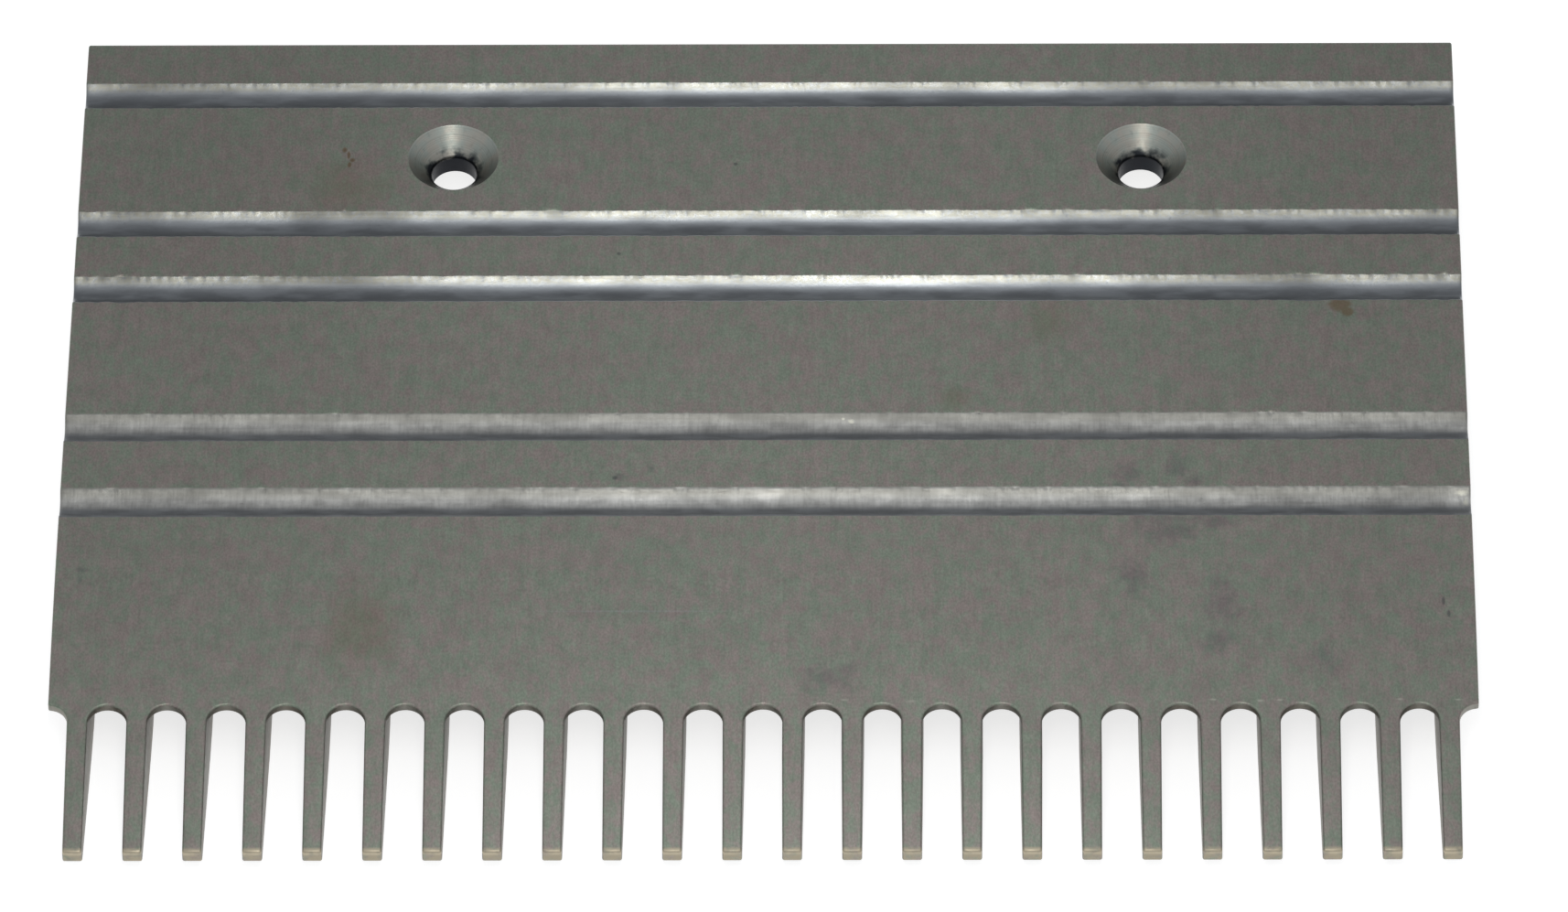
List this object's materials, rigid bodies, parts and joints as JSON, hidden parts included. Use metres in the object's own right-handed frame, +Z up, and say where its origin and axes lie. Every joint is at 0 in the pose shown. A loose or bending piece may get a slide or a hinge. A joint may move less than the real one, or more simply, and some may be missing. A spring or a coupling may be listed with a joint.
{
  "type": "escalator comb plate",
  "caption": "Aluminium comb plate for the end of an escalator: a flat grooved tread plate with countersunk fixing holes and a row of tapered teeth that mesh with the step cleats",
  "frame": {"origin": "on the seat plane, midway between the axes of the two fixing holes", "axes": "+X along the row of teeth, +Y towards the floor side (the teeth point to -Y), +Z up out of the tread surface"},
  "size_m": [0.2032, 0.1524, 0.0123],
  "materials": {
    "worn_aluminium": "ground and worn dull grey, brushed front to back, bright polished grooves"
  },
  "bodies": {
    "root": {"comb_plate": "worn_aluminium"}
  },
  "joints": []
}
